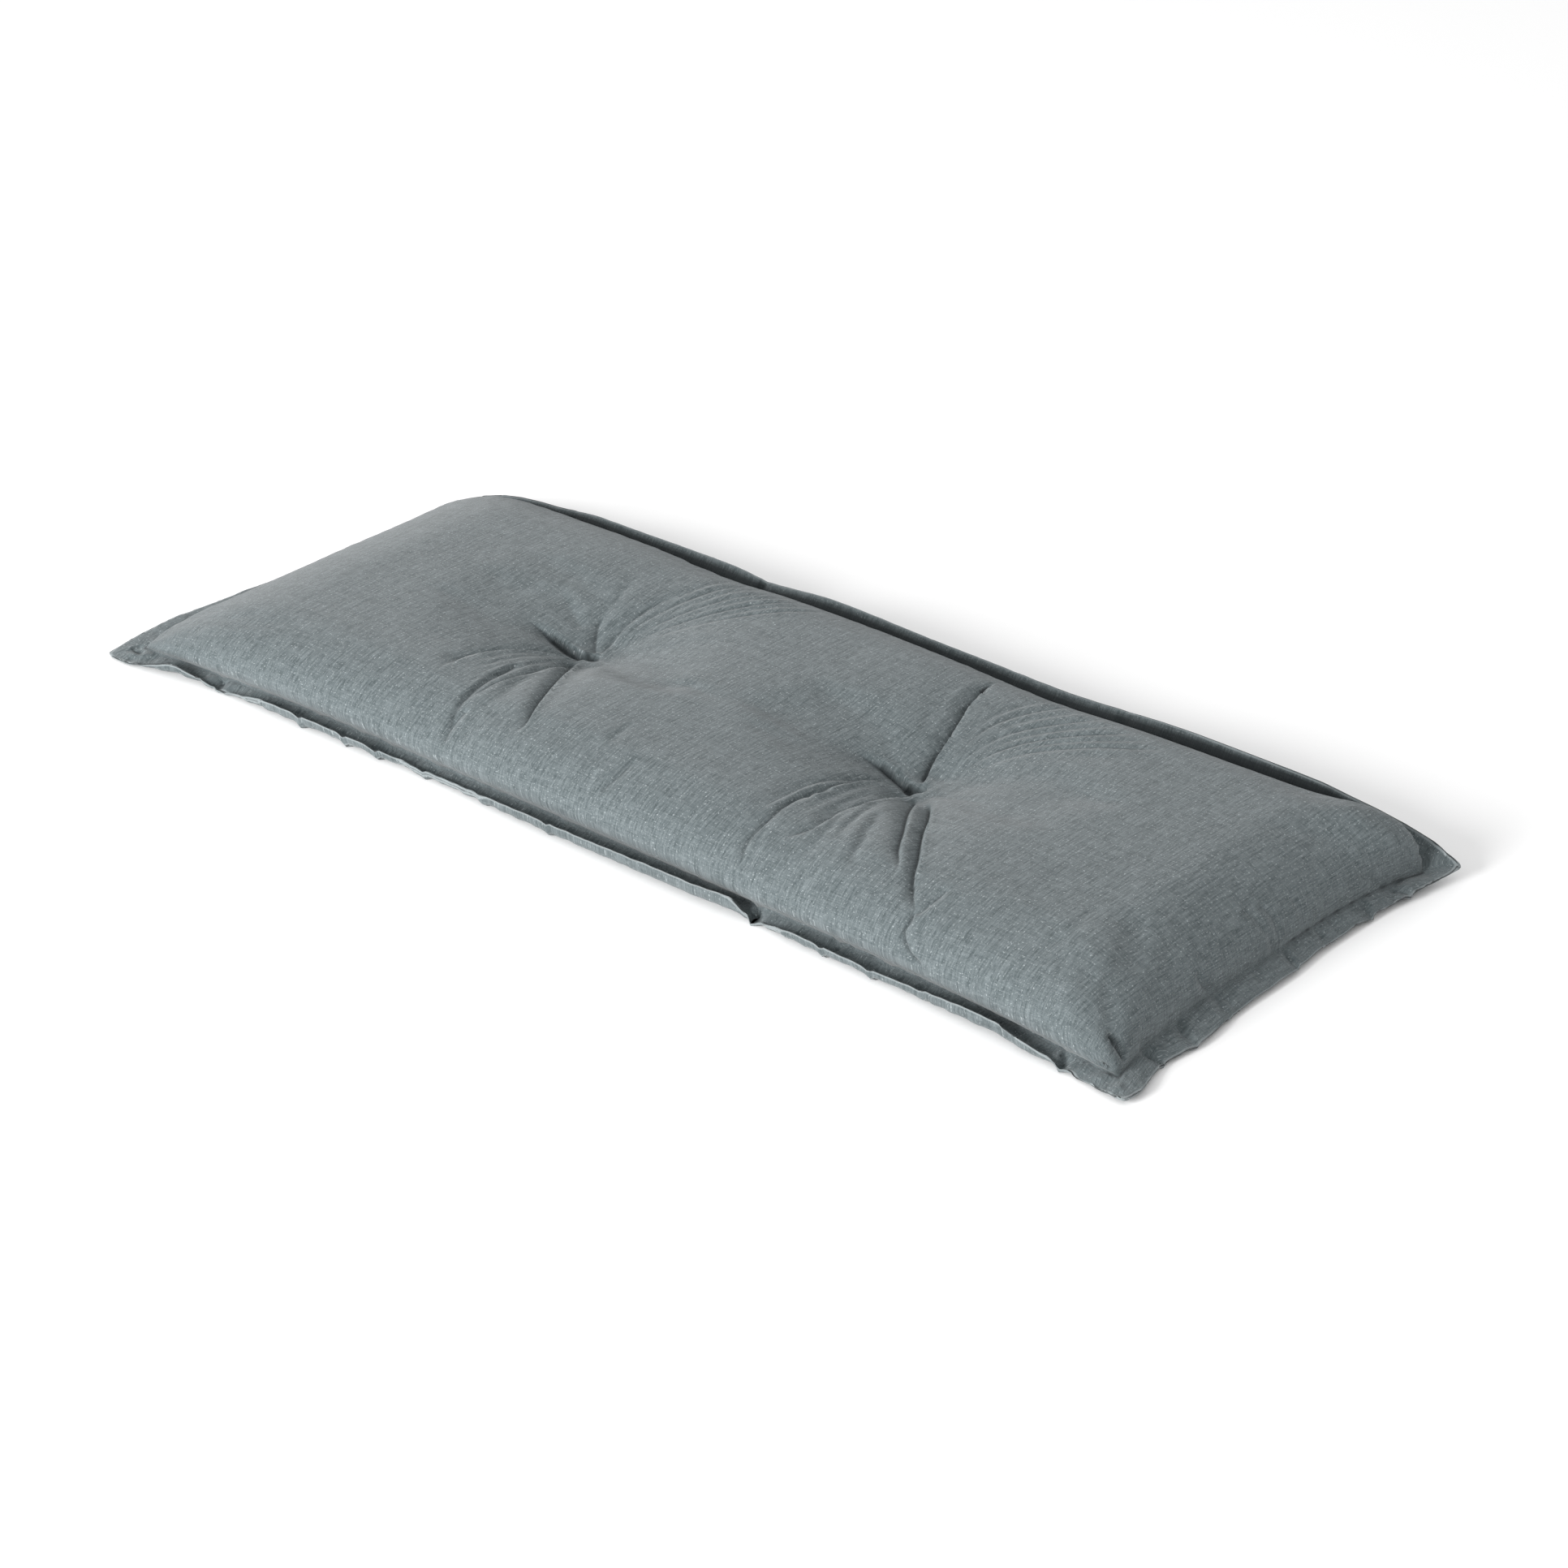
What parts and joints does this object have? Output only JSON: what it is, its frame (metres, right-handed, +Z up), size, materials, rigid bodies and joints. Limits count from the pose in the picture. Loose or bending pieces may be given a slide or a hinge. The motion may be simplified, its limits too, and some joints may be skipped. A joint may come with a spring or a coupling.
{
  "type": "bench cushion",
  "caption": "Long filled bench cushion with a flat double-cloth flange all round, drawn-in sides and tufts pulled through its crown.",
  "frame": {"origin": "on the ground under the middle of the cushion", "axes": "+X along the bench, -Y towards the front long side, +Z up out of the sitting face"},
  "size_m": [1.1973, 0.4803, 0.077],
  "materials": {
    "cover_cloth": "matte heathered weave"
  },
  "bodies": {
    "root": {"cushion": "cover_cloth"}
  },
  "joints": []
}
